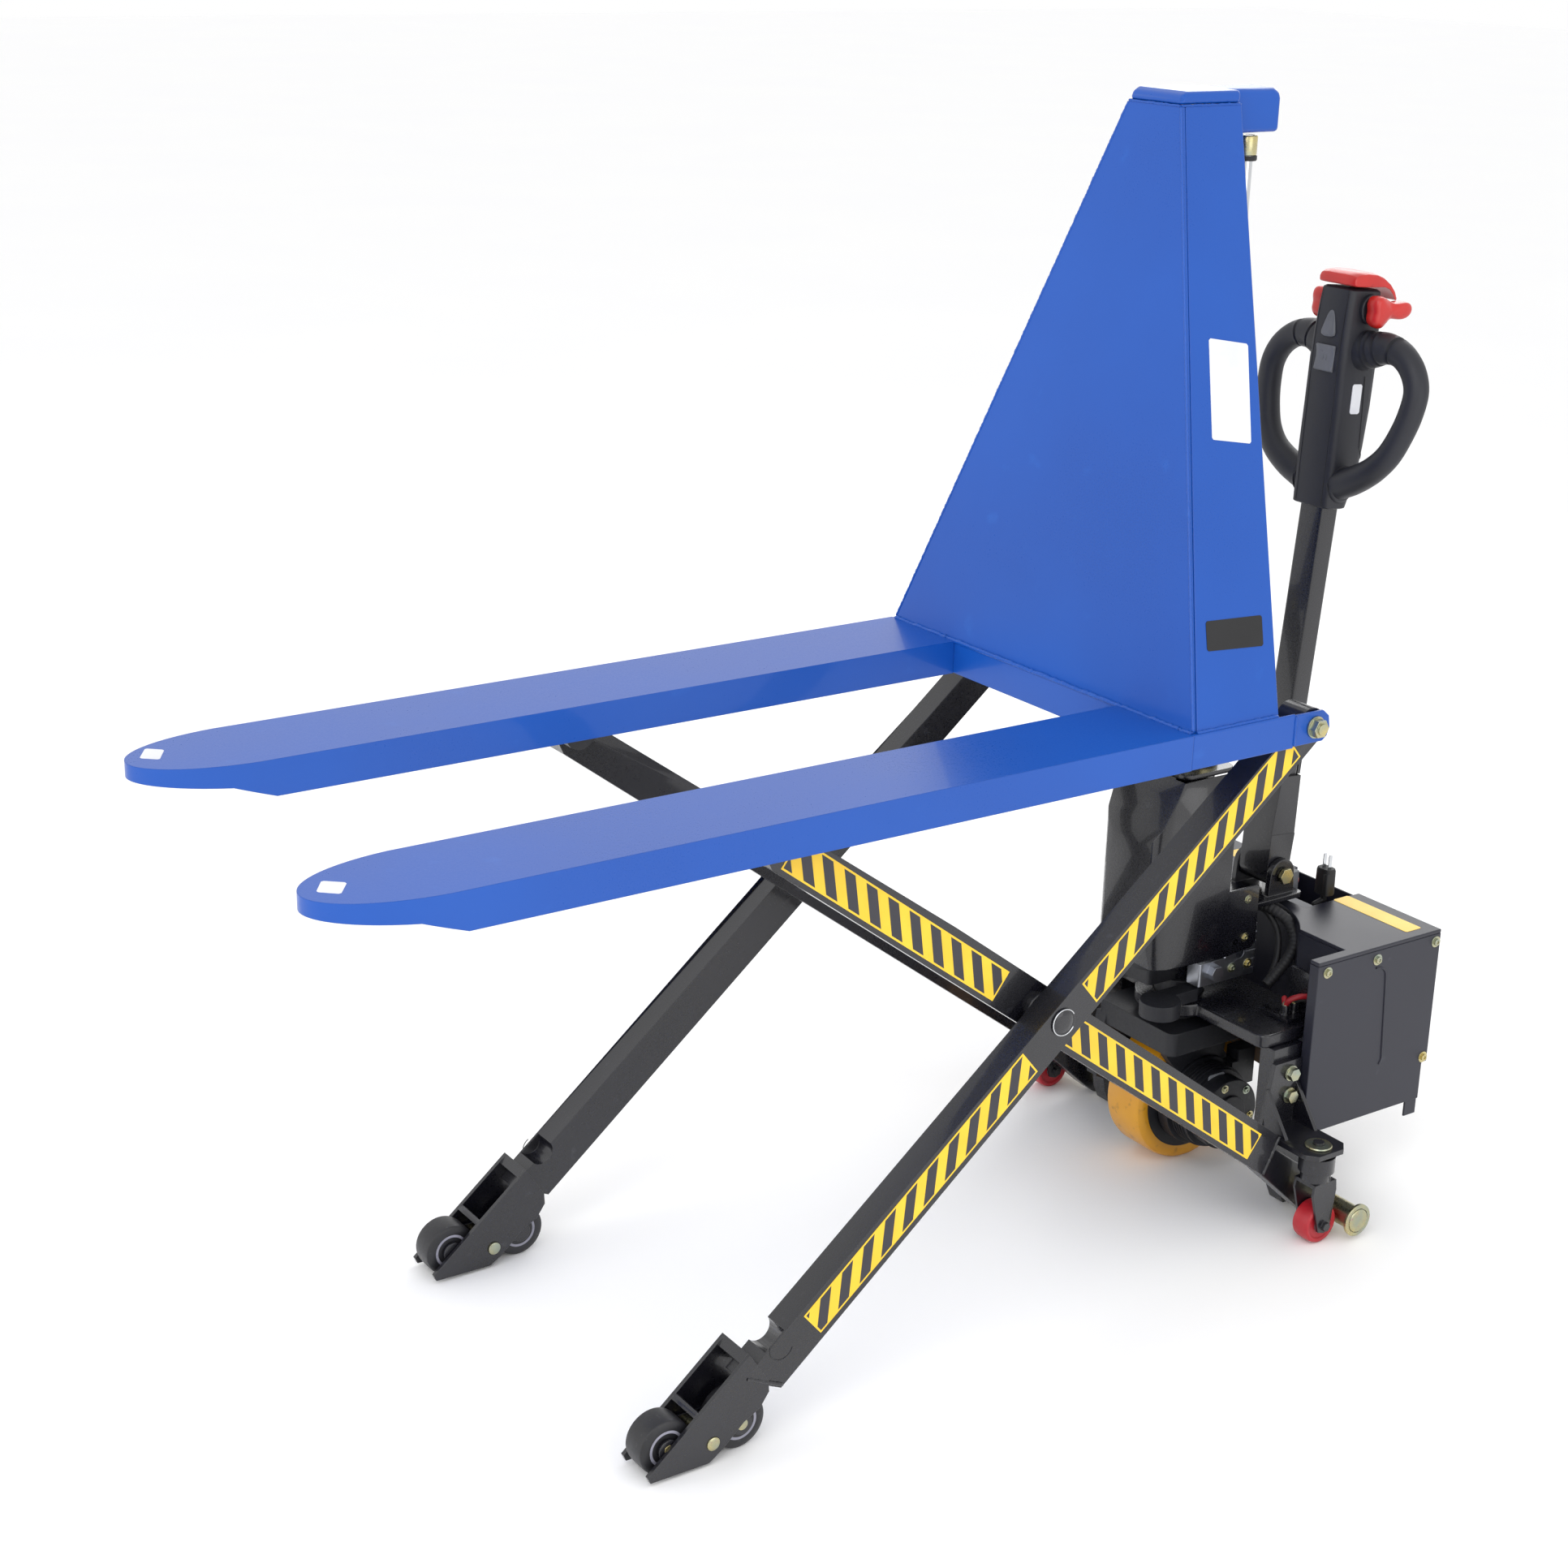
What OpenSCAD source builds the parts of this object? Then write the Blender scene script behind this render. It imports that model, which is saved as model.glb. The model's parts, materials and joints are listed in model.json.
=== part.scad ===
// Electric scissor pallet truck: two forks lifted by crossed arms and a
// telescopic cylinder, with a steered drive unit, a battery box and a tiller.
// Units are millimetres. +X points to the fork tips, +Z is up, floor at z = 0.

/* [Overall] */
// Position of the heel pivot plane ahead of the reference point
heel_x = -495.5; // [-600:0.5:-400]
// Width over both forks
truck_w = 640; // [520:5:700]
// Width of one fork
fork_w = 148; // [120:1:180]
// Height of the raised fork top
fork_top = 823; // [780:1:860]
// Depth of the fork side walls
fork_h = 47; // [35:1:60]
// Heel-frame position of the fork tips
tip_x = 1395; // [1200:5:1450]

/* [Scissor] */
// Height of the raised heel pivot
heel_z = 800; // [760:1:830]
// Centre pivot, forward of the heel
cross_x = 393; // [360:1:420]
// Centre pivot height
cross_z = 468; // [440:1:500]
// Depth of the arm tubes
arm_h = 60; // [45:1:70]
// Radius of the rear hinge shaft
shaft_r = 18; // [14:0.5:22]
// Radius of the load rollers
roller_r = 37; // [30:1:41]

/* [Tower] */
// Height of the tower cap
tower_top = 1585; // [1400:5:1700]
// Half width of the tower at its cap
tower_half = 50; // [35:1:70]

/* [Drive] */
// Radius of the drive wheel
wheel_r = 105; // [90:1:125]
// Radius of the caster wheels
caster_r = 30; // [25:1:38]
// Steering axis, behind the heel
steer_x = -106; // [-140:1:-90]
// Radius of the lift rod
rod_r = 10; // [8:0.5:14]

/* [Battery box] */
// Half width of the box
box_half = 230; // [200:1:250]
// Top of the box cover
box_top = 397; // [360:1:420]

/* [Tiller] */
// Rearward lean of the parked tiller in degrees
lean = 4.8; // [0:0.1:15]
// Radius of the handle loops
loop_r = 17; // [12:0.5:22]

/* [Hidden] */
$fn = 48;
half = truck_w / 2;
inner_y = half - fork_w;
fork_z = fork_top - fork_h;
heel_px = -2;
hinge_x = -172;
hinge_z = 31;
bogie_x = 914;
bogie_z = 30;
arm_a = 40.05;
inner_a = 36.5;
link_dx = 53;
link_z = 37;
col_y = 208;
caster_x = -114;
caster_y = 298;
trail = 6;
wheel_x = -140;
tiller_x = -262;
tiller_z = 447;
cap_z = 1568;
front_len = norm([148, cap_z - fork_top]);
front_a = atan(148 / (cap_z - fork_top));
side_len = norm([314 - tower_half, cap_z - fork_top]);
side_a = atan((314 - tower_half) / (cap_z - fork_top));
fit = 0.05;

// Shared helpers
module heel() { translate([heel_x, 0, 0]) children(); }
module near() { heel() children(); }
module far() { heel() mirror([0, 1, 0]) children(); }
module both() { near() children(); far() children(); }
module side(y0, y1) {
  translate([0, y1, 0]) rotate([90, 0, 0]) linear_extrude(y1 - y0) children();
}
module rod_y(x, z, r, y0, y1) {
  translate([x, y1, z]) rotate([90, 0, 0]) cylinder(r = r, h = y1 - y0);
}
module box(x0, x1, y0, y1, z0, z1) {
  translate([x0, y0, z0]) cube([x1 - x0, y1 - y0, z1 - z0]);
}
module rbox(x0, x1, y0, y1, z0, z1, r) {
  translate([0, 0, z0]) linear_extrude(z1 - z0) offset(r)
    translate([x0 + r, y0 + r]) square([x1 - x0 - 2 * r, y1 - y0 - 2 * r]);
}
module hex_y(x, z, r, y0, y1) {
  translate([x, y1, z]) rotate([90, 0, 0]) cylinder(r = r, h = y1 - y0, $fn = 6);
}
module pipe(p, r) {
  for (i = [0 : len(p) - 2]) hull() {
    translate(p[i]) sphere(r = r, $fn = 16);
    translate(p[i + 1]) sphere(r = r, $fn = 16);
  }
}
module on_tiller() {
  heel() translate([tiller_x, 0, tiller_z]) rotate([0, -lean, 0]) children();
}

// Chassis
module chassis_plate() color("#17181a") heel() difference() {
  union() {
    rbox(-218, -88, -198, 198, 265, 285, 16);
    translate([steer_x, 0, 265]) cylinder(r = 64, h = 20);
  }
  translate([steer_x, 0, 260]) cylinder(r = 36 + fit, h = 30);
}
module column_outline() {
  polygon([[-160, 265], [-103, 265], [-103, 142], [-122, 120], [-140, 30], [-150, 8],
    [-194, 8], [-204, 30], [-196, 60], [-178, 100], [-160, 129]]);
}
module side_columns() color("#17181a") both() difference() {
  side(180, col_y) column_outline();
  rod_y(hinge_x, hinge_z, shaft_r + fit, 170, 220);
  for (z = [192, 227]) rod_y(-131, z, 6 + fit, 170, 220);
}
module caster_brackets() color("#17181a") both() difference() {
  union() {
    side(col_y, col_y + 8)
      polygon([[-150, 150], [-82, 150], [-100, 246], [-152, 246]]);
    translate([0, 0, 142]) linear_extrude(8)
      polygon([[-152, 208], [-78, 208], [-78, 310], [-90, 324], [-138, 324], [-152, 310]]);
    for (x = [-149, -91]) translate([x, 0, 0]) rotate([90, 0, 90]) linear_extrude(6)
      polygon([[216, 150], [262, 150], [216, 212]]);
  }
  for (z = [192, 227]) rod_y(-131, z, 6 + fit, 200, 230);
  translate([caster_x, caster_y, 130]) cylinder(r = 8 + fit, h = 30);
}
module chassis_bolts() color("#c9bd86") both() {
  for (z = [192, 227]) {
    rod_y(-131, z, 6, 176, 217);
    rod_y(-131, z, 12, 216, 219);
    hex_y(-131, z, 10, 219, 227);
    hex_y(-131, z, 10, 170, 180);
  }
}
module scissor_shaft() color("#c9bd86") both() rod_y(hinge_x, hinge_z, shaft_r, 176, 336);
module box_outline() {
  difference() {
    translate([-404, -box_half]) square([251, 2 * box_half]);
    translate([steer_x, 0]) circle(r = 168);
    translate([-240, -92]) square([110, 184]);
    translate([-222, -212]) square([82, 424]);
  }
}
module battery_box() color("#2a2b33") heel() difference() {
  translate([0, 0, 125]) linear_extrude(266) box_outline();
  translate([0, 0, 128]) linear_extrude(270) offset(-3) box_outline();
  box(-420, -394, -300, 300, 100, 184);
}
module battery_cover() color("#3a3b46") heel() difference() {
  translate([0, 0, 391]) linear_extrude(box_top - 391) difference() {
    box_outline();
    translate([-420, -64]) square([130, 128]);
  }
}
module batteries() color("#4a4d55") both() {
  rbox(-385, -285, 68, 222, 128, 355, 4);
}
module charger() color("#5a5d62") heel() rbox(-340, -290, -50, 50, 128, 380, 4);
module mains_plug() color("#141415") heel() {
  translate([-348, 46, 405]) cylinder(r = 12, h = 26);
  translate([-348, 46, 431]) cylinder(r = 15, h = 14);
  for (y = [39, 50]) rbox(-353, -343, y, y + 3, 445, 466, 0.8);
}
module charger_lead() color("#141415") heel()
  pipe([[-348, 46, 400], [-348, 46, 392], [-336, 40, 385]], 4.5);
module terminal_bracket() color("#17181a") heel() difference() {
  union() {
    box(-199, -150, 140, 182, 285, 291);
    box(-199, -193, 140, 188, 285, 352);
    for (x = [-165, -183]) {
      translate([x, 162, 291]) cylinder(r = 8, h = 2);
      translate([x, 162, 293]) cylinder(r = 6.5, h = 12);
    }
  }
  for (x = [-165, -183]) translate([x, 162, 300]) cylinder(r = 3.2, h = 6, $fn = 6);
}

// Steered unit
module drive_fork() color("#1b1c1e") heel() difference() {
  union() {
    translate([steer_x, 0, 250]) cylinder(r = 36, h = 60);
    rbox(-190, -34, -96, 70, 214, 250, 14);
    side(-96, -74) polygon([[-190, 230], [-34, 230], [-26, 190], [-22, 130], [-40, 120],
      [-95, 86], [-120, 66], [-160, 66], [-185, 95], [-190, 150]]);
    side(16, 30) polygon([[-190, 250], [-50, 250], [-66, 190], [-100, 150], [-180, 150]]);
  }
  rod_y(wheel_x, wheel_r, 14 + fit, -100, -70);
  rod_y(wheel_x, wheel_r, 71, 15, 31);
  rod_y(wheel_x, wheel_r, wheel_r + 6, -71, 13.5);
}
module drive_motor() color("#1b1c1e") heel() {
  rod_y(wheel_x, wheel_r, 70, 14, 34);
  rod_y(wheel_x, wheel_r, 62, 34, 66);
  rod_y(wheel_x, wheel_r, 55, 66, 92);
  rod_y(wheel_x, wheel_r, 30, 92, 96);
  box(-232, -198, 20, 46, 118, 178);
  box(-198, -186, 26, 46, 130, 160);
}
module pump_unit() color("#202124") heel() {
  translate([-42, 0, 340]) cylinder(r = 33, h = 222);
  difference() {
    rbox(-134, -30, -52, 16, 310, 340, 8);
    translate([steer_x, 0, 300]) cylinder(r = 28, h = 60);
  }
}
module shroud_side() {
  polygon([[-130, 352], [8, 358], [14, 400], [17, 545], [-24, 640], [-130, 640]]);
}
module shroud_plan() {
  polygon([[-130, -66], [-14, -66], [4, -60], [13, -48], [17, -30], [17, 30], [13, 48],
    [4, 60], [-14, 66], [-130, 66]]);
}
module shroud() color("#141518") heel() difference() {
  union() {
    intersection() {
      translate([0, 0, 340]) linear_extrude(310) shroud_plan();
      side(-80, 80) shroud_side();
    }
    for (s = [-1, 1]) side(s * 64.5 - 1.5, s * 64.5 + 1.5)
      polygon([[-190, 366], [-182, 357], [-130, 352], [-130, 455], [-184, 455], [-190, 449]]);
  }
  intersection() {
    translate([0, 0, 330]) linear_extrude(340) offset(-3) shroud_plan();
    side(-80, 80) polygon([[-150, 330], [5, 330], [11, 400], [14, 545], [-28, 645], [-150, 645]]);
  }
  box(-140, -126, -63, 63, 330, 660);
}
module shroud_lid() color("#1c1d21") heel() difference() {
  rbox(-130, -30, -60, 60, 640, 647, 18);
  translate([steer_x, 0, 630]) cylinder(r = 31, h = 30);
}
module manifold() color("#b9bcc0") heel() {
  difference() {
    rbox(-197, -134, 16, 62, 312, 392, 3);
    rod_y(-165, 350, 8, 40, 70);
  }
  rbox(-140, -86, 34, 62, 312, 348, 3);
  hex_y(-112, 332, 12, 62, 74);
  translate([-12, 62, 287]) cylinder(r = 30, h = 23);
  rbox(-90, -20, 34, 60, 290, 309, 3);
}
module cylinder_barrel() color("#1b1c1e") heel() difference() {
  union() {
    translate([steer_x, 0, 310]) cylinder(r = 28, h = 440);
    translate([steer_x, 0, 750]) cylinder(r = 31, h = 26);
  }
  translate([steer_x, 0, 320]) cylinder(r = 22 + fit, h = 500);
}
module tiller_base() color("#1b1c1e") heel() difference() {
  union() {
    rbox(-300, -196, -50, 50, 408, 416, 10);
    for (s = [-1, 1]) side(s * 35 - 5, s * 35 + 5) {
      polygon([[-288, 416], [-236, 416], [-238, 447], [-286, 447]]);
      translate([tiller_x, tiller_z]) circle(r = 24);
    }
    rbox(-210, -134, -14, 14, 380, 408, 4);
  }
  rod_y(tiller_x, tiller_z, 9 + fit, -60, 60);
  translate([steer_x, 0, 370]) cylinder(r = 28.5, h = 60);
}
module estop_housing() color("#6b6e73") heel() difference() {
  rbox(-318, -300, -22, 22, 398, 436, 4);
  translate([-330, 0, 416]) rotate([0, 90, 0]) cylinder(r = 8 + fit, h = 26);
}
module harness() color("#161617") heel() {
  pipe([[-226, 44, 396], [-230, 66, 372], [-222, 86, 338], [-196, 96, 316]], 8);
  pipe([[-214, 30, 396], [-218, 52, 352], [-204, 84, 306]], 5);
}
module drive_tyre() color("#d8981a") heel() difference() {
  rod_y(wheel_x, wheel_r, wheel_r, -65, 10);
  rod_y(wheel_x, wheel_r, wheel_r - 20, -70, 20);
}
module drive_hub() color("#1b1c1e") heel() {
  difference() {
    rod_y(wheel_x, wheel_r, wheel_r - 20, -64, 9);
    rod_y(wheel_x, wheel_r, 60, -2, 12);
  }
  rod_y(wheel_x, wheel_r, 14, -98, -60);
}

// Tiller, drawn with its pivot at the local origin
module tiller_tube() color("#1b1c1e") on_tiller() difference() {
  translate([0, 0, 40]) rbox(-17, 17, -22.5, 22.5, 0, 522, 5);
  translate([0, 0, 30]) rbox(-14, 14, -19.5, 19.5, 0, 540, 3);
}
module tiller_bracket() color("#1b1c1e") on_tiller() difference() {
  union() {
    side(-28, 28) polygon([[-24, 60], [24, 60], [19, 150], [-19, 150]]);
    rod_y(0, 0, 22, -29.5, 29.5);
    side(-29, 29) polygon([[-22, 0], [22, 0], [24, 60], [-24, 60]]);
    box(-25, -19, -20, 20, 150, 250);
  }
  rod_y(0, 0, 9 + fit, -40, 40);
  rbox(-17.2, 17.2, -22.7, 22.7, 39.8, 160, 5);
}
module tiller_pin() color("#c9bd86") heel() {
  rod_y(tiller_x, tiller_z, 9, -44, 44);
  hex_y(tiller_x, tiller_z, 13, 44, 50);
}
module head_side() {
  polygon([[-26, 552], [24, 552], [27, 620], [30, 700], [35, 780], [33, 856], [28, 862],
    [-40, 860], [-54, 842], [-42, 760], [-30, 700]]);
}
module handle_head() color("#2b2c30") on_tiller() difference() {
  side(-40, 40) head_side();
  translate([0, 0, 540]) rbox(-17.2, 17.2, -22.7, 22.7, 0, 22.2, 5);
  side(-34, 34) polygon([[-22, 566], [16, 566], [20, 700], [24, 780],
    [20, 830], [-34, 830], [-36, 800], [-26, 700]]);
  box(18, 40, -18, 18, 744, 782);
  box(16, 40, -14, 14, 792, 832);
  rod_y(-6, 836, 11 + fit, -50, 50);
  translate([0, 0, 850]) rbox(-34, 4, -16, 16, 0, 20, 4);
}
loop_pts = [[-42, 36, 776], [-44, 80, 790], [-44, 120, 782], [-42, 134, 756],
  [-38, 130, 716], [-34, 114, 668], [-30, 94, 640], [-24, 36, 606]];
module handle_loops() color("#232428") on_tiller() difference() {
  for (s = [1, -1]) pipe([for (p = loop_pts) [p[0] + 36, s * p[1], p[2]]], loop_r);
  side(-40, 40) head_side();
}
module top_cap() color("#c02a22") on_tiller() {
  translate([0, 0, 866]) rbox(-54, 32, -39, 39, 0, 13, 12);
  translate([0, 0, 855]) rbox(-33.5, 3.5, -15.5, 15.5, 0, 12, 4);
}
module throttle() color("#c02a22") on_tiller() {
  rod_y(-6, 836, 11, -44, 44);
  for (s = [-1, 1]) side(s * 52 - 11, s * 52 + 11)
    polygon([[-16, 826], [6, 826], [26, 838], [28, 850], [4, 848], [-18, 846]]);
}
module rocker_switch() color("#75787d") on_tiller() {
  box(25, 39, -17.6, 17.6, 744.4, 781.6);
}
module triangle_button() color("#8a8d92") on_tiller() {
  box(22, 38, -13.7, 13.7, 792.4, 831.6);
}
module estop_button() color("#c02a22") heel() {
  translate([-322, 0, 416]) rotate([0, 90, 0]) cylinder(r = 8, h = 13);
  translate([-327, 0, 416]) rotate([0, 90, 0]) cylinder(r = 14, h = 6);
}

// Telescopic lift
module lift_stage() color("#c8ccd0") heel() difference() {
  translate([steer_x, 0, 706]) cylinder(r = 22, h = 444);
  translate([steer_x, 0, 700]) cylinder(r = 16 + fit, h = 460);
}
module lift_rod() color("#c8ccd0") heel() {
  translate([steer_x, 0, 1090]) cylinder(r = 16, h = 60);
  translate([steer_x, 0, 1150]) cylinder(r = rod_r, h = 350);
  translate([steer_x, 0, 1492]) cylinder(r = 13, h = 30);
}

// Scissor arms
module on_inner() { translate([cross_x, 0, cross_z]) rotate([0, -inner_a, 0]) children(); }
module on_outer() { translate([heel_px, 0, heel_z]) rotate([0, arm_a, 0]) children(); }
module inner_arms() color("#15161a") {
  both() difference() {
    on_inner() side(226, 262) polygon([[-566, -arm_h / 2], [-552, arm_h / 2], [200, arm_h / 2],
      [500, arm_h / 2 - 6], [515, arm_h / 2 - 14], [515, 8 - arm_h / 2], [500, -arm_h / 2]]);
    rod_y(cross_x, cross_z, 14 + fit, 220, 270);
  }
  both() on_inner() rod_y(521, 3, 8, 182, 232);
}
module inner_lugs() color("#15161a") both() difference() {
  on_inner() side(226, 254) {
    polygon([[-714, -44], [-690, -43], [-566, -30], [-566, 12], [-620, 12], [-714, 13]]);
    translate([-714, -15.2]) circle(r = 29);
  }
  rod_y(hinge_x, hinge_z, shaft_r + fit, 220, 260);
}
module top_roller() near() difference() {
  on_inner() rod_y(521, 3, 22, 186, 222);
  on_inner() rod_y(521, 3, 8 + fit, 180, 226);
}
module top_roller_left() color("#2a2b2e") top_roller();
module top_roller_right() color("#2a2b2e") mirror([0, 1, 0]) top_roller();
module outer_arms() color("#15161a") both() difference() {
  union() {
    on_outer() side(272, 311) polygon([[-20, -18], [0, -arm_h / 2], [1092, -arm_h / 2], [1118, 28],
      [516, 28], [213, 20], [0, 20], [-20, 12]]);
    rod_y(heel_px, heel_z, 24, 270, 313);
  }
  rod_y(heel_px, heel_z, 8 + fit, 260, 320);
  rod_y(cross_x, cross_z, 14 + fit, 260, 320);
  on_outer() rod_y(1056, arm_h / 2, 18, 271, 308);
}
module bogie_plate() {
  polygon([[862, 136], [834, 92], [833, 76], [846, 57], [869, 45], [900, 17], [919, 4],
    [1003, 5], [1007, 14]]);
}
module bogie_frames() color("#15161a") both() difference() {
  union() {
    for (y = [249, 306]) side(y, y + 6) bogie_plate();
    side(255, 306) polygon([[862, 136], [834, 92], [840, 88], [872, 124]]);
    side(255, 306) polygon([[922, 66], [930, 62], [940, 72], [932, 76]]);
  }
  on_outer() side(271.9, 311.1) polygon([[1000, -32], [1092, -30], [1118, 28], [1000, 28]]);
  rod_y(bogie_x, bogie_z, 9 + fit, 240, 320);
}
module pivot_pins() color("#8f8a70") both() {
  rod_y(cross_x, cross_z, 14, 221, 312);
  rod_y(cross_x, cross_z, 19, 311, 314.5);
  rod_y(bogie_x, bogie_z, 9, 246, 314.5);
}

// Load bogies
module link_outline() {
  difference() {
    union() {
      translate([bogie_x - link_dx + 6, link_z - 10]) square([2 * link_dx - 4, 20]);
      for (s = [-1, 1]) translate([bogie_x + 6 + s * link_dx, link_z]) circle(r = 14);
      translate([bogie_x, bogie_z]) circle(r = 16);
    }
    translate([bogie_x, bogie_z]) circle(r = 9 + fit);
  }
}
module tandem_link() near() {
  for (y = [256, 301]) side(y, y + 4) link_outline();
  for (s = [-1, 1]) rod_y(bogie_x + 6 + s * link_dx, link_z, 8, 256, 305);
}
module tandem_link_left() color("#1b1c1e") tandem_link();
module tandem_link_right() color("#1b1c1e") mirror([0, 1, 0]) tandem_link();
module load_roller(s) near() difference() {
  rod_y(bogie_x + 6 + s * link_dx, link_z, roller_r, 261, 300);
  rod_y(bogie_x + 6 + s * link_dx, link_z, 8 + fit, 255, 306);
}
module front_roller_left() color("#1a1a1b") load_roller(1);
module front_roller_right() color("#1a1a1b") mirror([0, 1, 0]) load_roller(1);
module rear_roller_left() color("#1a1a1b") load_roller(-1);
module rear_roller_right() color("#1a1a1b") mirror([0, 1, 0]) load_roller(-1);

// Fork frame and tower
module fork_plan() {
  translate([213, inner_y]) square([1029, fork_w]);
  translate([1240, inner_y + fork_w / 2]) scale([tip_x - 1240, fork_w / 2])
    intersection() {
      circle(r = 1, $fn = 64);
      translate([0, -1]) square([1, 2]);
    }
}
module fork_profile() {
  polygon([[34, fork_z], [1237, fork_z], [1290, 794], [tip_x, 803], [tip_x, fork_top],
    [34, fork_top]]);
}
module fork_hollow() {
  box(200, 1236, inner_y + 5, half - 5, fork_z - 1, fork_top - 6);
  translate([0, 0, fork_z - 1]) linear_extrude(fork_h - 5) offset(-3) intersection() {
    fork_plan();
    translate([1200, 0]) square([118, 400]);
  }
}
module forks() color("#1f6fb8") both() difference() {
  intersection() {
    translate([0, 0, fork_z]) linear_extrude(fork_h) fork_plan();
    side(100, 400) fork_profile();
  }
  fork_hollow();
}
module heel_frame() color("#1f6fb8") {
  both() {
    box(34, 213, half - 5, half, fork_z, fork_top);
    box(150, 213, inner_y, inner_y + 5, fork_z, fork_top);
    box(203, 213, inner_y, half, fork_top - 6, fork_top);
  }
  heel() difference() {
    box(150, 213, -inner_y, inner_y, fork_z, fork_top);
    box(156, 207, -inner_y - 1, inner_y + 1, fork_z - 1, fork_top - 6);
  }
}
module tower_front() color("#1f6fb8") heel() translate([211, 0, fork_top]) intersection() {
  rotate([0, -front_a, 0]) rotate([90, 0, -90]) linear_extrude(8)
    polygon([[-314, -2], [314, -2], [tower_half, front_len], [-tower_half, front_len]]);
  box(-300, 10, -320, 320, 0, 800);
}
module tower_sides() color("#1f6fb8") both() difference() {
  translate([0, 314, fork_top]) rotate([side_a, 0, 0]) rotate([90, 0, 0]) linear_extrude(6)
    polygon([[60, 0], [202.7, 0], [54.7, side_len], [-43, side_len]]);
  box(40, 220, 290, 330, fork_top - 10, fork_top);
}
module tower_block() color("#1f6fb8") heel() {
  side(-tower_half, tower_half) polygon([[-43, cap_z], [63, cap_z], [60, tower_top - 5],
    [50, tower_top], [-43, tower_top]]);
  side(-25, 25) polygon([[-140, 1527], [-50, 1527], [-43, 1560], [-43, tower_top],
    [-126, tower_top], [-137, tower_top - 6], [-140, tower_top - 14]]);
}
module heel_ears() color("#1f6fb8") both() difference() {
  side(half - 5, half) {
    polygon([[34, 778], [34, 821], [-16, 821], [-27, 812], [-30, 796], [-26, 784], [-18, 778]]);
  }
  rod_y(heel_px, heel_z, 8 + fit, 300, 340);
}
module heel_bolts() color("#c9bd86") both() {
  rod_y(heel_px, heel_z, 8, 265, 336);
  rod_y(heel_px, heel_z, 15, half, half + 3);
  hex_y(heel_px, heel_z, 13, half + 3, half + 13);
  hex_y(heel_px, heel_z, 13, 265, 269.6);
}

// Casters
module caster_fork() near() translate([caster_x, caster_y, 0]) {
  cylinder_stem();
  difference() {
    for (y = [-20, 16]) translate([0, y + 4, 0]) rotate([90, 0, 0]) linear_extrude(4)
      polygon([[-22, 100], [20, 100], [22, 84], [5, 22], [-7, 18], [-17, 22], [-24, 84]]);
    rod_y(-trail, caster_r, 5 + fit, -30, 30);
  }
  rbox(-22, 20, -20, 20, 94, 100, 4);
  rod_y(-trail, caster_r, 5, -24, 24);
  hex_y(-trail, caster_r, 7, 20, 26);
}
module cylinder_stem() {
  translate([0, 0, 100]) cylinder(r = 22, h = 14);
  translate([0, 0, 114]) cylinder(r = 26, h = 24);
  translate([0, 0, 130]) cylinder(r = 8, h = 27);
  translate([0, 0, 151]) cylinder(r = 18, h = 2);
}
module caster_fork_left() color("#1b1c1e") caster_fork();
module caster_fork_right() color("#1b1c1e") mirror([0, 1, 0]) caster_fork();
module caster_wheel() near() difference() {
  rod_y(caster_x - trail, caster_r, caster_r, caster_y - 15, caster_y + 15);
  rod_y(caster_x - trail, caster_r, 5 + fit, caster_y - 20, caster_y + 20);
}
module caster_wheel_left() color("#b3262b") caster_wheel();
module caster_wheel_right() color("#b3262b") mirror([0, 1, 0]) caster_wheel();

chassis_plate();
side_columns();
caster_brackets();
chassis_bolts();
scissor_shaft();
battery_box();
battery_cover();
batteries();
charger();
mains_plug();
charger_lead();
terminal_bracket();
drive_fork();
drive_motor();
pump_unit();
shroud();
shroud_lid();
manifold();
cylinder_barrel();
tiller_base();
estop_housing();
harness();
drive_tyre();
drive_hub();
tiller_tube();
tiller_bracket();
tiller_pin();
handle_head();
handle_loops();
top_cap();
throttle();
rocker_switch();
triangle_button();
estop_button();
lift_stage();
lift_rod();
inner_arms();
inner_lugs();
top_roller_left();
top_roller_right();
outer_arms();
bogie_frames();
pivot_pins();
forks();
heel_frame();
tower_front();
tower_sides();
tower_block();
heel_ears();
heel_bolts();
tandem_link_left();
tandem_link_right();
front_roller_left();
front_roller_right();
rear_roller_left();
rear_roller_right();
caster_fork_left();
caster_fork_right();
caster_wheel_left();
caster_wheel_right();
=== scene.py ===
import bpy, bmesh, json, math
from mathutils import Vector, Matrix, noise


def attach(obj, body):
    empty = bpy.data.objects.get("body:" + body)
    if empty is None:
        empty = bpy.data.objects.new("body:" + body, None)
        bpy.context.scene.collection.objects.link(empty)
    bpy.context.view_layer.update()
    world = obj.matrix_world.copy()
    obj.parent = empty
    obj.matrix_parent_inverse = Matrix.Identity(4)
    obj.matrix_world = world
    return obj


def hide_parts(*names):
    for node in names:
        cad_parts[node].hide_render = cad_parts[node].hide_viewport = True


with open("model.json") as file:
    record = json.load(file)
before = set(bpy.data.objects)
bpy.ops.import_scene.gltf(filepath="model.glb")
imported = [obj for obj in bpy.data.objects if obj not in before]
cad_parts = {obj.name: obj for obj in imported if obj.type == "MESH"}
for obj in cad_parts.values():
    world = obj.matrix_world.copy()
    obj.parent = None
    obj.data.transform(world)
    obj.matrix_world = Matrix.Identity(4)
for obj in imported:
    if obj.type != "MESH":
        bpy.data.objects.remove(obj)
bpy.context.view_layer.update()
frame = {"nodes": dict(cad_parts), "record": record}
NODES = frame["nodes"]
BODY = {n: b for b, ns in frame["record"]["behaviour"]["bodies"].items() for n in ns}
HEEL_X = -0.4955  # the heel pivots' plane in the row frame, in metres
X, Y, Z = Vector((1, 0, 0)), Vector((0, 1, 0)), Vector((0, 0, 1))


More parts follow.
